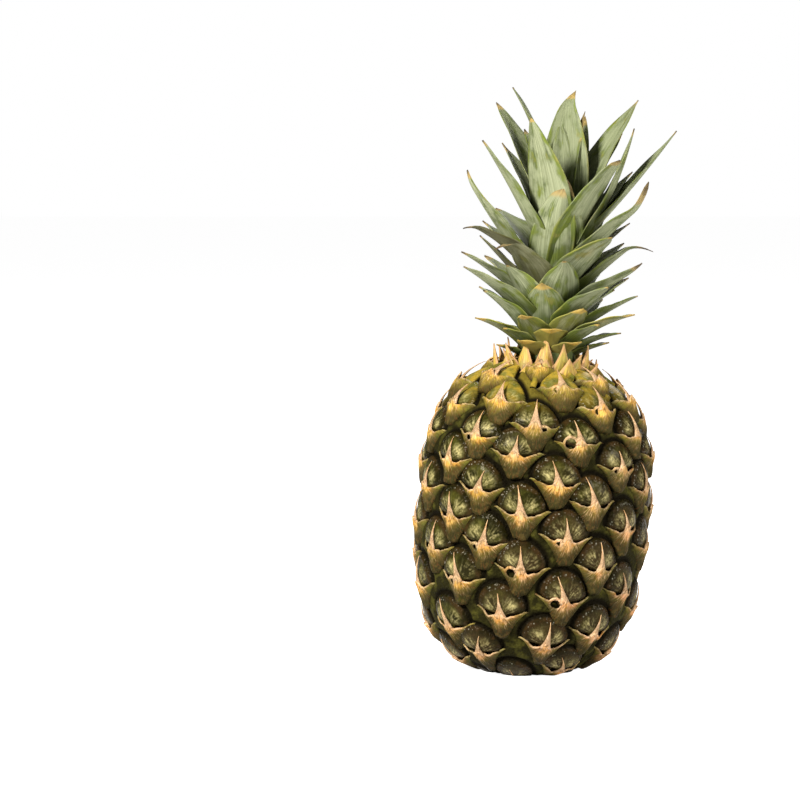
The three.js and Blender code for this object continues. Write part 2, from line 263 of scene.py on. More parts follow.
def profile_rows(low, high, step):
    """Heights along the axis at places that lie a step apart on the outside."""
    rows = [low]
    while rows[-1] < high:
        z = rows[-1]
        steep = (outline(z + 0.05) - outline(z - 0.05)) / 0.1
        rows.append(z + step / math.hypot(1, steep))
    return rows


def only(kind, geom):
    """The vertices, or the edges, among what an operator has made."""
    return [g for g in geom if isinstance(g, kind)]


rows = profile_rows(LOWEST_ROW, HIGHEST_ROW, SKIN_STEP)
skin = bmesh.new()
bmesh.ops.create_grid(skin, x_segments=SKIN_COLUMNS, y_segments=len(rows) - 1, size=0.5)
eye_place = skin.verts.layers.float_vector.new("eye_place")
eye_swell = skin.verts.layers.float.new("eye_swell")
near_eyes = []
for z in rows:
    index = eye_index(z)
    near = range(math.ceil(index - 13), math.floor(index + 6) + 1)
    places = [(n, FIRST_TURN + n * DIVERGENCE, (index - n) * EYE_STEP) for n in near]
    near_eyes.append([(*place, *wander(place[0]), *eye_spread(place[0])) for place in places])
for vert in skin.verts:
    row = round((vert.co.y + 0.5) * (len(rows) - 1))
    turn = 360 * (vert.co.x + 0.5)
    z = rows[row]
    best = (9, 0, 0, 0)
    for n, eye_turn, v, off_u, off_v, wider, flatter in near_eyes[row]:
        u = (((turn - eye_turn + 180) % 360 - 180) * MM_PER_DEGREE - off_u) / wider
        if abs(u) < 18:
            v = (v - off_v) * flatter
            best = min(best, (swell(u, v), n, u, v))
    level, n, u, v = best
    n = clamp(n, LOWEST_EYE, HIGHEST_EYE)
    dimples = DIMPLE * noise.noise(Vector((u * 0.3, v * 0.3, 7.3 * n)))
    rise = DOME_RISE * max(0, 1 - level) ** 0.5 + dimples * max(0, 1 - level)
    rise += SADDLE_RISE * smooth(level, 1.15, 1.6)
    rise -= CREVICE_DEPTH * math.exp(-(((level - 1.04) / 0.09) ** 2))
    place = in_fruit @ outside(turn, z, (rise - RELIEF) * shallow(z))
    place.z = max(place.z, 0)
    vert.co = place * MM
    vert[eye_place] = (u, v, draw(n))
    vert[eye_swell] = min(level, 2)
bmesh.ops.remove_doubles(skin, verts=skin.verts, dist=1e-6)
foot = [e for e in skin.edges if e.is_boundary and e.verts[0].co.z < WAIST * MM]
walls = bmesh.ops.extrude_edge_only(skin, edges=foot)["geom"]
foot_middle = Vector((STAND_X * MM, 0, 0))
for vert in only(bmesh.types.BMVert, walls):
    spoke = (vert.co - foot_middle).to_2d().normalized() * HOLLOW_RADIUS * MM
    vert.co = foot_middle + spoke.to_3d()
walls = bmesh.ops.extrude_edge_only(skin, edges=only(bmesh.types.BMEdge, walls))["geom"]
for vert in only(bmesh.types.BMVert, walls):
    vert.co.z += HOLLOW_TOP * MM
bmesh.ops.holes_fill(skin, edges=[e for e in skin.edges if e.is_boundary], sides=0)
bmesh.ops.recalc_face_normals(skin, faces=skin.faces)


def finished(name, bm, material, node):
    """Makes the object of a finished mesh, in its material, in the place of a node of the frame."""
    for face in bm.faces:
        face.smooth = True
    mesh = bpy.data.meshes.new(name)
    bm.to_mesh(mesh)
    bm.free()
    piece = bpy.data.objects.new(name, mesh)
    piece.data.materials.append(material)
    bpy.context.scene.collection.objects.link(piece)
    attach(piece, "root")
    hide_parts(node)


def add(tree, kind, values=(), **settings):
    """A new node of a shader, with its settings made and its sockets set or joined."""
    made = tree.nodes.new("ShaderNode" + kind)
    for name, value in settings.items():
        setattr(made, name, value)
    for socket, value in dict(values).items():
        if isinstance(value, bpy.types.NodeSocket):
            tree.links.new(value, made.inputs[socket])
        else:
            made.inputs[socket].default_value = value
    return made


def maths(tree, operation, a, b=0.0, c=0.0):
    return add(tree, "Math", {0: a, 1: b, 2: c}, operation=operation).outputs[0]


def times(tree, a, b):
    return maths(tree, "MULTIPLY", a, b)


def plus(tree, a, b):
    return maths(tree, "ADD", a, b)


def inverse(tree, mask):
    return maths(tree, "SUBTRACT", 1.0, mask)


def swing(tree, value, amount):
    """A value that wanders round a half, turned into one that wanders round 0 by an amount."""
    return times(tree, maths(tree, "SUBTRACT", value, 0.5), amount)


def between(tree, value, start, end):
    """0 below the start and 1 past the end, with soft ends."""
    sockets = {"Value": value, "From Min": start, "From Max": end}
    return add(tree, "MapRange", sockets, interpolation_type="SMOOTHSTEP").outputs[0]


def tinted(tree, amount, under, over):
    """The colour over laid on the colour under by an amount from 0 to 1."""
    sockets = {"Factor": amount, 6: under, 7: over}
    return add(tree, "Mix", sockets, data_type="RGBA").outputs[2]


def mottle(tree, vector, scale, detail=2.0):
    sockets = {"Vector": vector, "Scale": scale, "Detail": detail}
    return add(tree, "TexNoise", sockets).outputs["Fac"]


def vector_of(tree, x, y, z=0.0):
    return add(tree, "CombineXYZ", {0: x, 1: y, 2: z}).outputs[0]


def parts_of(tree, name):
    """The three numbers of a piece's own vector attribute."""
    read = add(tree, "Attribute", attribute_name=name)
    apart = add(tree, "SeparateXYZ", {0: read.outputs["Vector"]})
    return apart.outputs[0], apart.outputs[1], apart.outputs[2]


def new_material(name):
    """A material with its tree, and the surface that the rest of it is joined to."""
    material = bpy.data.materials.new(name)
    material.use_nodes = True
    return material, material.node_tree, material.node_tree.nodes["Principled BSDF"]


def rgb(r, g, b):
    return (r, g, b, 1)


def finish_surface(tree, surface, colour, roughness, height, depth):
    """Joins a surface to its colour and roughness, and to a bump whose height is in mm."""
    tree.links.new(colour, surface.inputs["Base Color"])
    tree.links.new(roughness, surface.inputs["Roughness"])
    bump = add(tree, "Bump", {"Height": height, "Distance": depth * MM, "Strength": 1.0})
    tree.links.new(bump.outputs[0], surface.inputs["Normal"])


def new_group(name, inputs, output):
    """A node group for an effect that several materials share, with its inner ends."""
    group = bpy.data.node_groups.new(name, "ShaderNodeTree")
    for socket in inputs:
        group.interface.new_socket(socket, in_out="INPUT", socket_type="NodeSocketFloat")
    group.interface.new_socket(output, in_out="OUTPUT", socket_type="NodeSocketFloat")
    return group, group.nodes.new("NodeGroupInput").outputs, group.nodes.new("NodeGroupOutput").inputs


# streaks that spread from an eye's nose, over its dome and down its bract
RAY_INPUTS = ["Right", "Up", "Own", "Fineness", "Stretch", "Detail"]
rays_group, given, made = new_group("nose_rays", RAY_INPUTS, "Rays")
angle = maths(rays_group, "ARCTAN2", given["Right"], given["Up"])
right_squared = times(rays_group, given["Right"], given["Right"])
up_squared = times(rays_group, given["Up"], given["Up"])
far = maths(rays_group, "SQRT", plus(rays_group, right_squared, up_squared))
spokes = times(rays_group, angle, given["Fineness"])
rings = times(rays_group, far, given["Stretch"])
rays = mottle(rays_group, vector_of(rays_group, spokes, rings, given["Own"]), 1.0, given["Detail"])
rays_group.links.new(rays, made["Rays"])


def nose_rays(tree, right, up, own, fineness, stretch, detail):
    sockets = dict(zip(RAY_INPUTS, (right, up, own, fineness, stretch, detail)))
    return add(tree, "Group", sockets, node_tree=rays_group).outputs["Rays"]


eye_skin, tree, surface = new_material("eye_skin")
surface.inputs["Specular IOR Level"].default_value = 0.06
surface.inputs["Specular Tint"].default_value = (1, 0.9, 0.7, 1)
u, v, chance = parts_of(tree, "eye_place")
level = add(tree, "Attribute", attribute_name="eye_swell").outputs["Fac"]
place = add(tree, "TexCoord").outputs["Object"]
v_up = plus(tree, v, 2.0)
own = times(tree, chance, 60.0)
rays = nose_rays(tree, u, v_up, own, 7.0, 0.2, 4.0)
specks = mottle(tree, place, 900.0, 3.0)
clouds = mottle(tree, place, 160.0, 3.0)
# two pale waxy patches, left and right of the bract's point
beside = maths(tree, "SUBTRACT", maths(tree, "ABSOLUTE", u), 5.2)
above = maths(tree, "SUBTRACT", v, 3.6)
patch = maths(tree, "SQRT", plus(tree, times(tree, beside, beside), times(tree, above, above)))
bloom = inverse(tree, between(tree, patch, 0.0, 6.0))
dust = plus(tree, times(tree, rays, 0.75), times(tree, specks, 0.35))
bloom = times(tree, bloom, between(tree, plus(tree, dust, times(tree, clouds, 0.6)), 0.70, 1.10))
darkest_green = rgb(0.010, 0.0095, 0.0016)
skin_green = tinted(tree, between(tree, clouds, 0.35, 0.65), darkest_green, rgb(0.048, 0.046, 0.007))
apart = add(tree, "SeparateXYZ", {0: place})
ripe = plus(tree, times(tree, apart.outputs[2], -7.0), times(tree, apart.outputs[0], 8.0))
ripe = between(tree, plus(tree, ripe, times(tree, chance, 0.6)), -0.7, 0.3)
skin_green = tinted(tree, times(tree, ripe, 0.75), skin_green, rgb(0.040, 0.024, 0.010))
pale_rays = times(tree, between(tree, rays, 0.5, 0.75), 0.3)
skin_green = tinted(tree, pale_rays, skin_green, rgb(0.12, 0.12, 0.045))
colour = tinted(tree, times(tree, bloom, 0.85), skin_green, rgb(0.46, 0.395, 0.17))
pits = between(tree, specks, 0.42, 0.62)
colour = tinted(tree, times(tree, inverse(tree, pits), 0.35), colour, rgb(0.010, 0.010, 0.003))
# painted shade: the outer part of each dome darkens to near-black towards the groove
outer_painted_shade = times(tree, between(tree, level, 0.30, 0.66), 0.85)
colour = tinted(tree, outer_painted_shade, colour, rgb(0.008, 0.0065, 0.0012))
rim = times(tree, between(tree, level, 0.4, 0.7), between(tree, clouds, 0.4, 0.6))
colour = tinted(tree, times(tree, rim, 0.3), colour, rgb(0.060, 0.026, 0.010))
# the young eyes at the top are still yellow-green all over
top = between(tree, apart.outputs[2], 0.132, 0.154)
top_yellow = tinted(tree, between(tree, clouds, 0.35, 0.65), rgb(0.38, 0.26, 0.03), rgb(0.11, 0.11, 0.018))
colour = tinted(tree, times(tree, top, 0.85), colour, top_yellow)
# painted shade: the foot of each dome and the groove round it are painted near-black
colour = tinted(tree, between(tree, level, 0.80, 0.95), colour, rgb(0.003, 0.0022, 0.0004))
# painted shade: the skin on the saddles between the eyes is painted a dark mottled green; the young skin at
# the top is yellower
saddle_in_painted_shade = tinted(tree, between(tree, clouds, 0.45, 0.65), rgb(0.012, 0.011, 0.002), rgb(0.045, 0.042, 0.007))
saddle_in_painted_shade = tinted(tree, times(tree, top, 0.7), saddle_in_painted_shade, rgb(0.20, 0.15, 0.02))
colour = tinted(tree, between(tree, level, 1.15, 1.5), colour, saddle_in_painted_shade)
rough = plus(tree, 0.16, times(tree, specks, 0.2))
rough = plus(tree, rough, times(tree, between(tree, level, 0.8, 1.0), 0.5))
# painted highlights: small pale glints on the wax beads along the rim, painted only at each eye's upper left
# where the lamp catches them; the beads' bump is real all round the rim
beads = add(tree, "TexVoronoi", {"Vector": place, "Scale": 640.0}).outputs["Distance"]
ring = times(tree, between(tree, level, 0.5, 0.62), inverse(tree, between(tree, level, 0.7, 0.8)))
upper_left = between(tree, maths(tree, "SUBTRACT", v, u), 4.0, 12.0)
painted_glint = times(tree, inverse(tree, between(tree, beads, 0.08, 0.36)), times(tree, ring, upper_left))
colour = tinted(tree, times(tree, painted_glint, 0.3), colour, rgb(0.50, 0.50, 0.38))
height = plus(tree, times(tree, rays, 0.5), times(tree, beads, between(tree, level, 0.35, 0.8)))
finish_surface(tree, surface, colour, rough, height, 0.6)
finished("rind", skin, eye_skin, "fruit")

# The bracts: one dry star-shaped leaf grown over the foot of each eye, with a wing to each side, a keel
# down between the eyes below, and a thin point that curls in over the dome.
WING = 16.4
KEEL = 15.2
KEEL_HALF = 3.5
BRACT_RISE = 4.6
BRACT_THICK = 0.75
BRACT_COLUMNS = 26
BRACT_ROWS = 12
BRACT_EYES = range(LOWEST_EYE + 5, HIGHEST_EYE + 4)
# eyes whose bract has a round hole: how far the hole lies from the nose, and its radius
HOLES = {
    22: (-5.2, -1.6, 2.9),
    -18: (-4.8, -3.0, 2.4),
    -25: (-4.6, -3.0, 2.5),
    25: (-4.5, -3.2, 1.7),
    -11: (-4.2, -4.0, 1.6),
    -22: (-4.2, -3.4, 1.6),
    -7: (-4.2, -3.2, 1.4),
    15: (-4.4, -3.0, 1.4),
    33: (-4.2, -2.8, 1.5),
    29: (4.6, -3.0, 1.4),
    40: (-4.2, -2.8, 1.5),
}


def bract_edge(index, u):
    """The upper edge of a bract, which dips to both sides of its point and rises round a hole."""
    across = abs(u)
    wave = 0.9 * noise.noise(Vector((u * 0.4, 3.1 * index, 0.5)))
    edge = -2.5 + 2.9 * smooth(across, 5, 13.5) + 3 * math.exp(-((u / 2.2) ** 2)) + wave
    if index not in HOLES:
        return edge
    hole_u, hole_v, radius = HOLES[index]
    return max(edge, hole_v + math.sqrt(max(0, (radius + 1.2) ** 2 - (u - hole_u) ** 2)))


def bract_keel(index, u):
    """The lower border of a bract: two hollow curves from the wings to a blunt keel."""
    across = clamp(max(0, abs(u - 0.4) - KEEL_HALF) / (WING - KEEL_HALF))
    wave = 1.2 * noise.noise(Vector((u * 0.3, 5.7 * index, 9.5)))
    long = KEEL * (1 - 0.3 * smooth(index, 40, 47))
    return -long * (1 - across) ** 1.66 + wave * (1 - across) + 0.15 * min(abs(u), KEEL_HALF)


def bract_level(index, u, v, edge, keel):
    """Height of a bract over the groove: highest at its nose, with streaks that run down from there."""
    across = abs(u)
    down = clamp((edge - v) / max(edge - keel, 0.1))
    level = BRACT_RISE * (1 - across / 24) * (1 - 0.45 * down**1.2)
    ridged = max(math.exp(-((u / 3.4) ** 2)), math.exp(-(((edge - v) / 3.2) ** 2)))
    level -= 0.9 * (1 - ridged) * smooth(across, 1, 5)
    ridge = 0.9 * math.exp(-((u / 1.5) ** 2)) * (1 - down) ** 0.6
    streak = 0.4 * math.cos(math.atan2(u, 2 - v) * 9 + index) * math.exp(-down * 1.6) * smooth(across, 0.5, 2)
    level += 0.7 * noise.noise(Vector((u * 0.2, v * 0.2, 4.1 * index)))
    level += 2.6 * smooth(index, 26, 42) * (1 - down)
    level *= 1 - 0.55 * smooth(across, 8, WING)
    border = clamp((v - keel) / 1.1) ** 0.5 * (1 - smooth(across, WING - 1.5, WING + 0.3))
    return (level + ridge + streak) * border - 0.5 * (1 - border)


bract_flat = bmesh.new()
bmesh.ops.create_grid(bract_flat, x_segments=BRACT_COLUMNS, y_segments=BRACT_ROWS, size=0.5)
bract_mesh = bpy.data.meshes.new("bract_flat")
bract_flat.to_mesh(bract_mesh)
bract_flat.free()
point_flat = bmesh.new()
bmesh.ops.create_cone(point_flat, cap_ends=True, segments=8, radius1=1, radius2=1, depth=1)
upright = [e for e in point_flat.edges if abs(e.verts[0].co.z - e.verts[1].co.z) > 0.5]
bmesh.ops.subdivide_edges(point_flat, edges=upright, cuts=8)
point_mesh = bpy.data.meshes.new("point_flat")
point_flat.to_mesh(point_mesh)
point_flat.free()


def copied(bm, mesh):
    """The new vertices and faces of a mesh that is copied into another."""
    before = (len(bm.verts), len(bm.faces))
    bm.from_mesh(mesh)
    bm.verts.ensure_lookup_table()
    bm.faces.ensure_lookup_table()
    return bm.verts[before[0] :], bm.faces[before[1] :]


bracts = bmesh.new()
bract_place = bracts.verts.layers.float_vector.new("bract_place")
bract_shade = bracts.verts.layers.float_vector.new("bract_shade")
gone = []
for index in BRACT_EYES:
    verts, faces = copied(bracts, bract_mesh)
    hole = HOLES.get(index)
    in_hole = set()
    for vert in verts:
        u = 2 * WING * vert.co.x
        u += 0.8 * u * (abs(vert.co.x) - 0.5) * (1 - abs(vert.co.x) * 2)
        t = vert.co.y + 0.5
        edge = bract_edge(index, u)
        keel = min(bract_keel(index, u), edge - 0.3)
        v = keel + (edge - keel) * t
        if hole:
            away = Vector((u - hole[0], v - hole[1]))
            if away.length < hole[2]:
                in_hole.add(vert)
                u, v = Vector(hole[:2]) + away.normalized() * hole[2]
        level = bract_level(index, u, v, edge, keel)
        from_hole = max(0, math.dist((u, v), hole[:2]) - hole[2]) if hole else 9
        vert.co = on_eye(index, u, v, level)
        vert[bract_place] = (u, v, draw(index + 300))
        vert[bract_shade] = (min(edge - v, from_hole), v - keel, math.hypot(u, v + 0.5))
    gone += [face for face in faces if all(vert in in_hole for vert in face.verts)]
    gone += [face for face in faces if all(vert.co.z < 0.00003 for vert in face.verts)]
bmesh.ops.delete(bracts, geom=gone, context="FACES")
bmesh.ops.recalc_face_normals(bracts, faces=bracts.faces)
bmesh.ops.solidify(bracts, geom=bracts.faces[:], thickness=BRACT_THICK * MM)
for vert in bracts.verts:
    vert.co.z = max(vert.co.z, 0)


def point_path(index, h):
    """Middle of a bract's point at a share h of its length, as mm right, up and out from the nose."""
    young = smooth(index, 12, HIGHEST_EYE)
    length = 7.5 + 6 * draw(index + 20)
    lean = -0.17 + 0.75 * (draw(index + 60) - 0.5)
    bend = 2.5 * (draw(index + 90) - 0.6)
    v = -2.2 + (length + 2.2) * h
    u = lean * length * h**1.2 + bend * h * h
    tucked = 3.5 * math.sqrt(max(0, 1 - swell(u, max(v, EYE_WIDEST)))) + 0.15 + 0.4 * math.sin(math.pi * h)
    standing = 4.6 + 1.4 * math.sin(math.pi * clamp(h * 0.7)) + 1.0 * h * h
    return Vector((u, v, tucked * (1 - young) + standing * young))


for index in BRACT_EYES:
    verts, faces = copied(bracts, point_mesh)
    for vert in verts:
        h = vert.co.z + 0.5
        wide = 0.14 + 2.5 * (1 - h) ** 2.4 + (0.45 + 1.6 * smooth(index, 20, HIGHEST_EYE)) * (1 - h)
        thick = 0.16 + 0.8 * (1 - h) ** 1.3
        middle = point_path(index, h)
        vert_u = middle.x + wide * vert.co.x
        vert_v = middle.y
        vert.co = on_eye(index, vert_u, vert_v, middle.z + thick * vert.co.y)
        vert[bract_place] = (vert_u, vert_v, draw(index + 300))
        vert[bract_shade] = (30, 9, 9 * h)
bmesh.ops.recalc_face_normals(bracts, faces=bracts.faces)

bract_dry, tree, surface = new_material("bract_dry")
surface.inputs["Specular IOR Level"].default_value = 0.08
u, v, chance = parts_of(tree, "bract_place")
lip, border, reach = parts_of(tree, "bract_shade")
place = add(tree, "TexCoord").outputs["Object"]
apart = add(tree, "SeparateXYZ", {0: place})
own = times(tree, chance, 40.0)
v_down = maths(tree, "SUBTRACT", 2.5, v)
rays = nose_rays(tree, u, v_down, own, 9.0, 0.16, 3.0)
streaks = nose_rays(tree, u, v_down, own, 26.0, 0.3, 2.0)
specks = mottle(tree, place, 1100.0, 3.0)
clouds = mottle(tree, place, 130.0, 3.0)
# yellow at the top and the left of the fruit, pink lower down and on the right
ripe = plus(tree, times(tree, apart.outputs[2], -9.0), times(tree, apart.outputs[0], 8.0))
ripe = between(tree, plus(tree, ripe, times(tree, chance, 0.7)), -1.1, 0.1)
warm = tinted(tree, ripe, rgb(0.66, 0.40, 0.07), rgb(0.70, 0.36, 0.18))
olive = tinted(tree, ripe, rgb(0.27, 0.19, 0.024), rgb(0.31, 0.155, 0.050))
spread = plus(tree, reach, swing(tree, rays, 16.0))
colour = tinted(tree, between(tree, spread, 3.0, 9.0), warm, olive)
cream = inverse(tree, between(tree, plus(tree, reach, times(tree, rays, 8.0)), 3.5, 8.0))
colour = tinted(tree, times(tree, cream, 0.85), colour, rgb(0.84, 0.59, 0.36))
brown = times(tree, between(tree, rays, 0.47, 0.62), inverse(tree, between(tree, reach, 6.0, 13.0)))
colour = tinted(tree, times(tree, brown, 0.6), colour, rgb(0.46, 0.19, 0.035))
orange = between(tree, mottle(tree, place, 230.0, 2.0), 0.48, 0.62)
orange = times(tree, orange, inverse(tree, between(tree, reach, 6.0, 12.0)))
colour = tinted(tree, times(tree, orange, 0.55), colour, rgb(0.62, 0.27, 0.030))
edge_line = inverse(tree, between(tree, lip, 0.2, 0.9))
edge_line = times(tree, edge_line, between(tree, clouds, 0.3, 0.55))
colour = tinted(tree, times(tree, edge_line, 0.8), colour, rgb(0.78, 0.52, 0.32))
border_wide = plus(tree, border, swing(tree, clouds, 5.0))
green = inverse(tree, between(tree, border_wide, 0.9, 6.0))
patchy = between(tree, plus(tree, clouds, times(tree, chance, 0.2)), 0.55, 0.8)
colour = tinted(tree, times(tree, patchy, 0.5), colour, rgb(0.17, 0.165, 0.025))
down = maths(tree, "SUBTRACT", times(tree, maths(tree, "ABSOLUTE", u), 0.5), v)
down = plus(tree, down, swing(tree, clouds, 9.0))
green = maths(tree, "MAXIMUM", green, times(tree, between(tree, down, 3.2, 8.2), 0.95))
green = times(tree, green, between(tree, times(tree, v, -1.0), 0.0, 3.5))
flank = tinted(tree, between(tree, clouds, 0.35, 0.65), rgb(0.020, 0.028, 0.004), rgb(0.085, 0.090, 0.011))
young = between(tree, apart.outputs[2], 0.118, 0.148)
flank = tinted(tree, times(tree, young, 0.8), flank, rgb(0.34, 0.25, 0.03))
colour = tinted(tree, times(tree, green, 0.88), colour, flank)
# painted shade: the lower end of each keel darkens to near-black brown where it dips into the crevice between
# the eyes below
keel_end_painted_shade = between(tree, plus(tree, down, times(tree, streaks, 3.0)), 6.0, 13.0)
colour = tinted(tree, times(tree, keel_end_painted_shade, 0.9), colour, rgb(0.020, 0.016, 0.004))
wing_end = between(tree, maths(tree, "ABSOLUTE", u), 6.5, 12.5)
colour = tinted(tree, times(tree, wing_end, 0.65), colour, rgb(0.12, 0.125, 0.018))
# painted shade: a near-black band along the lower border of each bract, where it sinks into the crevice
dark = inverse(tree, between(tree, plus(tree, border, times(tree, clouds, -1.2)), -0.6, 0.5))
colour = tinted(tree, times(tree, dark, 0.95), colour, rgb(0.005, 0.005, 0.002))
blotch = between(tree, mottle(tree, place, 420.0, 3.0), 0.52, 0.62)
colour = tinted(tree, times(tree, blotch, 0.55), colour, rgb(0.085, 0.056, 0.014))
near_nose = inverse(tree, between(tree, reach, 4.0, 10.0))
pale_fibres = times(tree, between(tree, streaks, 0.54, 0.66), times(tree, near_nose, 0.55))
colour = tinted(tree, pale_fibres, colour, rgb(0.78, 0.50, 0.26))
dark_fibres = inverse(tree, between(tree, streaks, 0.36, 0.44))
colour = tinted(tree, times(tree, dark_fibres, 0.75), colour, rgb(0.075, 0.034, 0.009))
point = between(tree, lip, 20.0, 25.0)
point_colour = tinted(tree, between(tree, streaks, 0.35, 0.65), rgb(0.76, 0.54, 0.33), rgb(0.42, 0.22, 0.09))
point_end = times(tree, between(tree, reach, 4.0, 9.0), 0.6)
point_colour = tinted(tree, point_end, point_colour, rgb(0.44, 0.25, 0.10))
colour = tinted(tree, point, colour, point_colour)
rough = plus(tree, 0.42, times(tree, specks, 0.3))
height = plus(tree, times(tree, streaks, 1.4), times(tree, specks, 0.35))
finish_surface(tree, surface, colour, rough, height, 0.6)
finished("bracts", bracts, bract_dry, "fruit")

# The neck bracts: thick yellow scales that stand round the foot of the crown, in one full row with
# thinner ones inside it and lower ones outside. They grow from the fruit and are dry along their edges.
blade = bmesh.new()
bmesh.ops.create_cone(blade, cap_ends=True, segments=20, radius1=1, radius2=1, depth=1)
upright = [e for e in blade.edges if abs(e.verts[0].co.z - e.verts[1].co.z) > 0.5]
bmesh.ops.subdivide_edges(blade, edges=upright, cuts=27)
blade_mesh = bpy.data.meshes.new("blade")
blade.to_mesh(blade_mesh)
blade.free()

neck = bmesh.new()
neck_place = neck.verts.layers.float_vector.new("neck_place")
# count, first step, radius, height of the foot on the axis, tilt, height, half width and fullness of each row
NECK_ROWS = [
    (13, 0, 17.8, 152, 8, 18, 7.2, 0.15),
    (15, 0.5, 16.4, 153, 40, 11, 3.6, 0.2),
    (12, 0.3, 22, 150, 20, 13, 7.5, 0.4),
]
scale = 0
for count, first, radius, foot_height, tilt, tall, half_wide, full in NECK_ROWS:
    for k in range(count):
        scale += 1
        turn = math.radians(FIRST_TURN + 360 / count * (k + first + 0.55 * (draw(scale) - 0.5)))
        high = tall * (0.7 + 0.6 * draw(scale + 40))
        wide = half_wide * (0.8 + 0.4 * draw(scale + 80))
        bent = math.radians(tilt + 34 * (draw(scale + 120) - 0.5))
        curl = 3.5 * (draw(scale + 140) - 0.45)
        outward = Vector((math.sin(turn), -math.cos(turn), 0))
        side = Vector((math.cos(turn), math.sin(turn), 0))
        growing = outward * math.sin(bent) + Vector((0, 0, math.cos(bent)))
        facing = side.cross(growing)
        foot = outward * radius + Vector((0, 0, foot_height))
        verts, faces = copied(neck, blade_mesh)
        for vert in verts:
            across, face, s = vert.co.x, vert.co.y, vert.co.z + 0.5
            thorn = (1 - s) ** 1.15
            shield = (1 - s**1.4) ** 1.1
            w = wide * (thorn + full * (shield - thorn) + 0.02)
            deep = (1.5 * (1 - s) + 0.3) * face + 0.3 * w * (1 - across * across) + curl * s**3
            crease = 0.25 * math.sin(6 * across + scale) * (1 - s)
            off = side * (w * across + 5 * (draw(scale + 160) - 0.5) * s * s)
            place = foot + growing * high * s + off + facing * (deep + crease)
            vert.co = (in_fruit @ place) * MM
            vert[neck_place] = (across, s, draw(scale + 200))
bmesh.ops.remove_doubles(neck, verts=neck.verts, dist=2e-5)
bmesh.ops.recalc_face_normals(neck, faces=neck.faces)

# grain that runs along a scale or a leaf
GRAIN_INPUTS = ["Across", "Along", "Own", "Fineness", "Stretch", "Detail"]
grain_group, given, made = new_group("blade_grain", GRAIN_INPUTS, "Grain")
lines = times(grain_group, given["Across"], given["Fineness"])
steps = times(grain_group, given["Along"], given["Stretch"])
grain = mottle(grain_group, vector_of(grain_group, lines, steps, given["Own"]), 1.0, given["Detail"])
grain_group.links.new(grain, made["Grain"])


def blade_grain(tree, across, along_it, own, fineness, stretch, detail):
    sockets = dict(zip(GRAIN_INPUTS, (across, along_it, own, fineness, stretch, detail)))
    return add(tree, "Group", sockets, node_tree=grain_group).outputs["Grain"]


neck_yellow, tree, surface = new_material("neck_yellow")
across, share, chance = parts_of(tree, "neck_place")
place = add(tree, "TexCoord").outputs["Object"]
own = times(tree, chance, 50.0)
fine = blade_grain(tree, across, share, own, 7.0, 1.5, 3.0)
clouds = mottle(tree, place, 150.0, 3.0)
colour = tinted(tree, between(tree, fine, 0.35, 0.65), rgb(0.52, 0.35, 0.05), rgb(0.24, 0.13, 0.018))
colour = tinted(tree, times(tree, between(tree, clouds, 0.45, 0.7), 0.5), colour, rgb(0.28, 0.30, 0.06))
dry = plus(tree, between(tree, maths(tree, "ABSOLUTE", across), 0.55, 1.0), between(tree, share, 0.55, 1.0))
dry = between(tree, plus(tree, dry, times(tree, fine, 0.5)), 0.5, 1.2)
colour = tinted(tree, times(tree, dry, 0.7), colour, rgb(0.45, 0.24, 0.12))
# painted shade: each scale darkens to dark brown towards its foot, down among the other scales under the
# leaves
foot_painted_shade = inverse(tree, between(tree, share, 0.05, 0.5))
colour = tinted(tree, times(tree, foot_painted_shade, 0.7), colour, rgb(0.085, 0.060, 0.012))
height = plus(tree, fine, times(tree, clouds, 0.4))
finish_surface(tree, surface, colour, plus(tree, 0.5, times(tree, dry, 0.2)), height, 0.4)
finished("neck_bracts", neck, neck_yellow, "fruit")

# The stub of the stalk that the fruit grew on: a woody stem, cut off level in the hollow underneath.
STALK_RADIUS = 11
STALK_TOP = 13
# radius and height of the rings, in over the cut end and up the wall
CUT_RINGS = [(8, 1.3), (5, 1.4), (2, 1.35)]
WALL_RINGS = [(10.8, 1.2), (STALK_RADIUS, 2.5), (STALK_RADIUS, 8), (STALK_RADIUS, STALK_TOP)]
FIRST_RING = (10.2, 0.9)

stalk = bmesh.new()
first_radius, first_height = FIRST_RING
for vert in bmesh.ops.create_circle(stalk, segments=48, radius=1)["verts"]:
    vert.co = Vector((STAND_X + first_radius * vert.co.x, first_radius * vert.co.y, first_height)) * MM


def grown_ring(bm, edges, radius, z):
    """A new ring of the stalk, joined to the edges of the last one."""
    made = bmesh.ops.extrude_edge_only(bm, edges=edges)["geom"]
    for vert in only(bmesh.types.BMVert, made):
        spoke = vert.co - foot_middle
        spoke.z = 0
        vert.co = foot_middle + spoke.normalized() * radius * MM
        vert.co.z = z * MM
    return only(bmesh.types.BMEdge, made)


ring = stalk.edges[:]
for radius, z in CUT_RINGS:
    ring = grown_ring(stalk, ring, radius, z)
stalk_wall = [e for e in stalk.edges if e.is_boundary and (e.verts[0].co - foot_middle).length > 9 * MM]
for radius, z in WALL_RINGS:
    stalk_wall = grown_ring(stalk, stalk_wall, radius, z)
bmesh.ops.holes_fill(stalk, edges=[e for e in stalk.edges if e.is_boundary], sides=0)
bmesh.ops.recalc_face_normals(stalk, faces=stalk.faces)

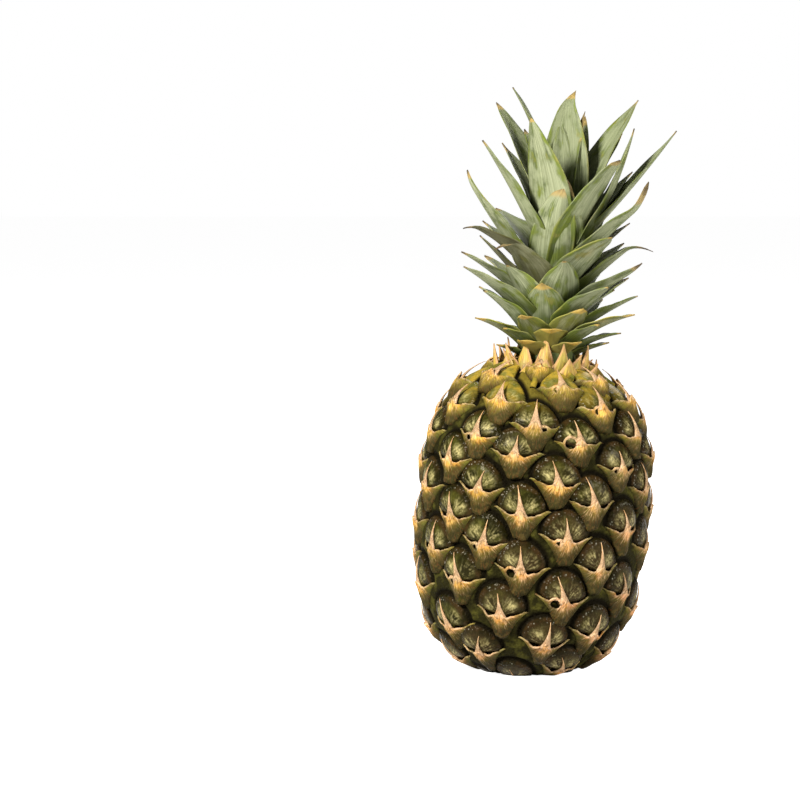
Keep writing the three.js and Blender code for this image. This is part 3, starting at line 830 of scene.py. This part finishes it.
stalk_fibre, tree, surface = new_material("stalk_fibre")
place = add(tree, "TexCoord").outputs["Object"]
long_fibre = add(tree, "Mapping", {0: place, "Scale": (1, 1, 0.08)}).outputs[0]
fibres = mottle(tree, long_fibre, 1300.0, 3.0)
clouds = mottle(tree, place, 200.0, 2.0)
colour = tinted(tree, fibres, rgb(0.50, 0.36, 0.17), rgb(0.17, 0.10, 0.045))
colour = tinted(tree, between(tree, clouds, 0.4, 0.7), colour, rgb(0.24, 0.19, 0.08))
finish_surface(tree, surface, colour, plus(tree, 0.7, times(tree, fibres, 0.2)), fibres, 0.5)
finished("stalk_stub", stalk, stalk_fibre, "cut_stalk")

# The crown: stiff waxy leaves packed in a spiral on one short stem that goes on from the fruit. Each is
# a channelled blade that clasps the stem, and the oldest have dry, torn or curled tips.
CROWN_SLOPE = 0.09
# height and radius of the stem's rings, and its height and how far its foot is sunk in the fruit
CROWN_STEM = [(0, 14.5), (30, 11.5), (62, 6), (76, 2.5)]
STEM_TALL = 78
STEM_SUNK = 3
LEAF_SUNK = 3
LEAF_SPREAD = 0.97
LEAF_RAISED = 0.42
LEAF_THICK = 1.1
TIP_THICK = 0.35
RIPPLE = 0.35
crown_foot = in_fruit @ Vector((0, 0, FRUIT_TOP))
# degrees round from the front, height of the root, lean of the root, reach and height of the tip, width,
# share of the width at a broken tip, dry share of the length, curl of the tip sideways and inwards, yellow
LEAVES = [
    (-130, 62, 26, 48, 131, 24, 0, 0.05, 0, 0, 0.3),
    (-105, 66, 8, 31, 138, 16, 0, 0, 0, 0, 0.1),
    (184, 62, 2, 17, 136, 27, 0, 0.06, -4, 2, 0.5),
    (-44, 46, 10, 30, 122, 30, 0, 0.03, 0, 0, 0.6),
    (-8, 36, 10, 18, 91, 30, 0.16, 0.2, 3, 2, 0.25),
    (54, 46, 14, 32, 101, 30, 0.45, 0.05, 0, 0, 0.2),
    (88, 46, 34, 33, 117, 22, 0, 0.05, 0, 0, 0.3),
    (125, 60, 22, 44, 132, 25, 0, 0.03, 0, 0, 0.2),
    (98, 52, 44, 56, 116, 21, 0, 0.04, 0, 0, 0.2),
    (150, 70, 6, 17, 126, 10, 0, 0.3, 0, 0, 0.4),
    (-160, 66, 2, 12, 121, 17, 0, 0.03, 0, 0, 0.2),
    (-80, 50, 28, 44, 111, 20, 0, 0.04, 0, 0, 0.2),
    (-72, 38, 44, 54, 95, 19, 0, 0.06, 0, 2, 0.3),
    (-62, 35, 36, 55, 70, 22, 0, 0.07, 0, -3, -0.9),
    (-95, 31, 42, 40, 63, 14, 0, 0.05, 0, 0, -0.8),
    (-42, 28, 28, 42, 62, 24, 0.12, 0.08, -4, -6, -0.7),
    (66, 40, 36, 49, 83, 24, 0.35, 0.14, 5, 9, 0.2),
    (115, 36, 34, 41, 69, 15, 0, 0.1, 0, 0, -0.8),
    (84, 30, 42, 43, 62, 21, 0.3, 0.14, 3, -9, -0.3),
    (38, 29, 22, 40, 63, 28, 0, 0.03, 0, 0, 0.5),
    (62, 21, 46, 48, 48, 23, 0.3, 0.14, 0, 2, 0.1),
    (6, 17, 14, 29, 51, 24, 0.28, 0, -1, 0, 0.4),
    (-84, 24, 42, 49, 55, 21, 0.1, 0.07, 0, 0, 0.1),
    (-68, 16, 42, 51, 48, 24, 0.12, 0.03, 0, 0, 0.2),
    (-50, 15, 22, 34, 49, 26, 0.1, 0.03, 0, 0, 0.2),
    (-17, 10, 18, 26, 40, 24, 0, 0.12, 0, 0, 0.7),
    (42, 13, 34, 38, 38, 24, 0, 0.03, 0, 0, 0.4),
    (72, 12, 52, 44, 33, 18, 0.25, 0.03, 0, 0, 0.2),
    (105, 18, 46, 33, 35, 17, 0.1, 0.05, 0, 0, 0.1),
    (-95, 14, 42, 38, 37, 17, 0.1, 0.05, 0, 0, 0.2),
    (-65, 9, 36, 40, 36, 20, 0.1, 0.05, 0, 0, 0.4),
    (62, 6, 48, 46, 24, 20, 0.1, 0.12, 0, 0, 0.9),
    (-72, 4, 42, 41, 22, 18, 0.1, 0.14, 0, 0, 0.9),
    (-32, 4, 22, 31, 24, 20, 0.1, 0.14, 0, 0, 0.9),
    (30, 4, 20, 29, 27, 23, 0.1, 0.14, 0, 0, 1),
    (50, 3, 40, 31, 19, 19, 0, 0.05, 0, 0, 0.6),
    (75, 3, 52, 37, 14, 14, 0, 0.08, 0, 0, 0.5),
    (-1, 3, 24, 25, 17, 20, 0.2, 0.2, 0, 0, 1.3),
    (-55, 3, 36, 30, 17, 16, 0, 0.05, 0, 0, 0.6),
    (-34, 2, 50, 27, 11, 16, 0.2, 0.25, 0, 0, 1.4),
    (33, 2, 52, 25, 10, 16, 0.2, 0.25, 0, 0, 1.4),
    (-80, 2, 66, 27, 8, 10, 0, 0.2, 0, 0, 0.8),
    (80, 2, 66, 31, 9, 11, 0, 0.2, 0, 0, 0.8),
]
# the hidden leaves of the back: their count, the heights of their roots, the turns that they fill in
# golden steps, and their lean, reach, tip height and width at some heights of the root
BACK_COUNT = 27
BACK_ROOTS = (3, 62)
BACK_TURNS = (108, 252)
GOLDEN = 0.618034
BACK_LEAN = [(3, 50), (16, 44), (32, 34), (62, 12)]
BACK_REACH = [(3, 31), (16, 43), (32, 45), (62, 34)]
BACK_TIP = [(3, 16), (16, 40), (32, 66), (62, 124)]
BACK_WIDTH = [(3, 14), (16, 20), (32, 21), (62, 20)]


def along(pairs, x):
    """The value at x on straight lines through the pairs."""
    x = clamp(x, pairs[0][0], pairs[-1][0])
    for (x0, y0), (x1, y1) in zip(pairs, pairs[1:]):
        if x <= x1:
            return y0 + (y1 - y0) * (x - x0) / (x1 - x0)


for k in range(BACK_COUNT):
    root = BACK_ROOTS[0] + (BACK_ROOTS[1] - BACK_ROOTS[0]) * k / BACK_COUNT
    turn = BACK_TURNS[0] + (BACK_TURNS[1] - BACK_TURNS[0]) * ((0.31 + GOLDEN * k) % 1)
    shape = [along(pairs, root) for pairs in (BACK_LEAN, BACK_REACH, BACK_TIP, BACK_WIDTH)]
    shape = [value * (0.93 + 0.14 * draw(k + 50 * n)) for n, value in enumerate(shape)]
    LEAVES.append((turn, root, *shape, 0, 0.03 + 0.08 * draw(k + 500), 0, 0, 0.6 * draw(k + 600)))


def leaf_width(s, stout, blunt):
    """Share of the full width at a share s of the length: clasping at the root, pointed at the tip."""
    root = 0.75 + 0.25 * math.sin(math.pi / 2 * clamp(s / 0.3))
    tip = max(0, 1 - clamp((s - 0.3) / 0.7) ** (1.5 + 1.2 * stout)) ** (0.92 - 0.05 * stout)
    rounded = math.sqrt(max(0, 1 - clamp((s - 0.78) / 0.22) ** 2.2))
    return root * max(min(1, 1.3 * blunt) * rounded, tip)


def leaf_point(leaf, number, across, face, s):
    """A point of a leaf: across from edge to edge, on the inner or outer face, a share s up the leaf."""
    turn, root_height, root_lean, reach, tip_height, width, blunt, dry, curl_side, curl_in, _ = leaf
    turn = math.radians(turn)
    outward = Vector((math.sin(turn), -math.cos(turn), 0))
    side = Vector((math.cos(turn), math.sin(turn), 0))
    up = Vector((0, 0, 1))
    root = outward * (along(CROWN_STEM, root_height) - LEAF_SUNK) + up * root_height
    tip = outward * reach + up * tip_height
    half = (tip - root).length / 2
    lean = math.radians(root_lean)
    knee = root + half * (outward * math.sin(lean) + up * math.cos(lean))
    middle = root * (1 - s) ** 2 + knee * 2 * s * (1 - s) + tip * s * s
    tangent = ((knee - root) * (1 - s) + (tip - knee) * s).normalized()
    normal = tangent.cross(side)
    w = width / 2 * leaf_width(s, width / (2 * half), blunt)
    thick = LEAF_THICK * (1 - s) + TIP_THICK * s
    ripple = RIPPLE * math.sin(s * 17 + 7 * number + 2 * across) * abs(across) ** 3
    lift = LEAF_RAISED * w * abs(across) ** 1.25 * (1 - 0.5 * s * s) + thick * face + ripple
    place = middle + side * (LEAF_SPREAD * w * across) + normal * lift
    start = 1 - max(0.14, 1.6 * dry)
    bent = clamp((s - start) / (1 - start)) ** 2
    place += side * curl_side * bent + normal * curl_in * bent
    return place + Vector((CROWN_SLOPE * place.z, 0, 0)), half * 2 * s


crown = bmesh.new()
leaf_place = crown.verts.layers.float_vector.new("leaf_place")
leaf_wear = crown.verts.layers.float_vector.new("leaf_wear")
for number, leaf in enumerate(LEAVES):
    verts, faces = copied(crown, blade_mesh)
    dry = leaf[7]
    for vert in verts:
        across, face, s = vert.co.x, vert.co.y, vert.co.z + 0.5
        place, length = leaf_point(leaf, number, across, face, s)
        vert.co = (place + crown_foot) * MM
        vert[leaf_place] = (across, length, draw(number + 700))
        vert[leaf_wear] = (smooth(s, 1 - 1.3 * dry - 0.01, 1 - 0.2 * dry), leaf[10], 1 if face > 0.01 else 0)
verts, faces = copied(crown, blade_mesh)
for vert in verts:
    z = STEM_TALL * (vert.co.z + 0.5)
    radius = along(CROWN_STEM, z) if z < STEM_TALL else 0
    place = Vector((radius * vert.co.x + CROWN_SLOPE * z, radius * vert.co.y, z - STEM_SUNK))
    vert.co = (place + crown_foot) * MM
    vert[leaf_place] = (0, 0, 0.5)
    vert[leaf_wear] = (0, 0.5, 0)
bmesh.ops.remove_doubles(crown, verts=crown.verts, dist=2e-5)
bmesh.ops.recalc_face_normals(crown, faces=crown.faces)

leaf_wax, tree, surface = new_material("leaf_wax")
surface.inputs["Specular IOR Level"].default_value = 0.14
across, length, chance = parts_of(tree, "leaf_place")
dry, yellow, inner = parts_of(tree, "leaf_wear")
place = add(tree, "TexCoord").outputs["Object"]
own = times(tree, chance, 50.0)
fine = blade_grain(tree, across, length, own, 16.0, 0.035, 3.0)
broad = blade_grain(tree, across, length, own, 3.0, 0.05, 3.0)
clouds = mottle(tree, place, 55.0, 4.0)
worn = blade_grain(tree, across, length, own, 2.2, 0.11, 5.0)
green = tinted(tree, between(tree, fine, 0.3, 0.7), rgb(0.032, 0.048, 0.013), rgb(0.090, 0.122, 0.028))
# bright patches where the bloom is rubbed off, most of them near the edges and the root
rubbed = plus(tree, worn, times(tree, between(tree, maths(tree, "ABSOLUTE", across), 0.5, 1.0), 0.13))
rubbed = plus(tree, rubbed, times(tree, inverse(tree, between(tree, length, 8.0, 34.0)), 0.17))
green = tinted(tree, times(tree, between(tree, rubbed, 0.56, 0.72), 0.7), green, rgb(0.16, 0.20, 0.026))
wax = plus(tree, times(tree, rubbed, -1.2), times(tree, broad, 0.5))
wax = between(tree, plus(tree, wax, times(tree, fine, 0.3)), -0.52, -0.14)
wax = times(tree, wax, maths(tree, "SUBTRACT", 0.92, times(tree, inner, 0.25)))
colour = tinted(tree, wax, green, rgb(0.30, 0.325, 0.195))
# painted shade: the lower part of each leaf, hidden by the leaves round it, is painted dark green
root_painted_shade = inverse(tree, between(tree, length, 4.0, 32.0))
colour = tinted(tree, times(tree, root_painted_shade, 0.75), colour, rgb(0.030, 0.044, 0.010))
scuffed = between(tree, plus(tree, worn, times(tree, clouds, 0.5)), 0.88, 0.98)
colour = tinted(tree, times(tree, scuffed, 0.6), colour, rgb(0.19, 0.17, 0.045))
veins = between(tree, blade_grain(tree, across, length, own, 30.0, 0.02, 2.0), 0.35, 0.65)
colour = tinted(tree, times(tree, veins, 0.42), colour, rgb(0.06, 0.075, 0.025))
# a leaf with a yellow below 0 is darkened all over to a dull brown
dim = between(tree, times(tree, yellow, -1.0), 0.0, 1.0)
colour = tinted(tree, times(tree, dim, 0.75), colour, rgb(0.085, 0.072, 0.035))
bright_edge = maths(tree, "MAXIMUM", yellow, 0.0)
edge = between(tree, maths(tree, "ABSOLUTE", across), 0.88, 0.99)
edge_yellow = times(tree, edge, times(tree, bright_edge, 0.75))
edge_yellow = times(tree, edge_yellow, between(tree, clouds, 0.42, 0.66))
colour = tinted(tree, edge_yellow, colour, rgb(0.42, 0.38, 0.08))
tan = between(tree, plus(tree, dry, swing(tree, clouds, 1.4)), 0.2, 0.6)
old = between(tree, yellow, 0.7, 1.4)
colour = tinted(tree, times(tree, old, 0.6), colour, rgb(0.27, 0.22, 0.05))
tip_colour = tinted(tree, bright_edge, rgb(0.20, 0.145, 0.065), rgb(0.50, 0.32, 0.045))
tip_colour = tinted(tree, times(tree, veins, 0.6), tip_colour, rgb(0.40, 0.30, 0.13))
colour = tinted(tree, times(tree, tan, 0.85), colour, tip_colour)
burnt = between(tree, plus(tree, dry, swing(tree, fine, 0.8)), 0.7, 1.0)
burnt = times(tree, burnt, maths(tree, "SUBTRACT", 0.9, times(tree, bright_edge, 0.8)))
colour = tinted(tree, burnt, colour, rgb(0.05, 0.032, 0.02))
streak = times(tree, between(tree, fine, 0.62, 0.7), between(tree, broad, 0.5, 0.65))
colour = tinted(tree, times(tree, streak, 0.5), colour, rgb(0.045, 0.05, 0.015))
rough = plus(tree, 0.40, times(tree, wax, 0.25))
height = plus(tree, times(tree, veins, 0.35), worn)
finish_surface(tree, surface, colour, rough, height, 0.2)
finished("crown_leaves", crown, leaf_wax, "crown")

low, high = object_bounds()
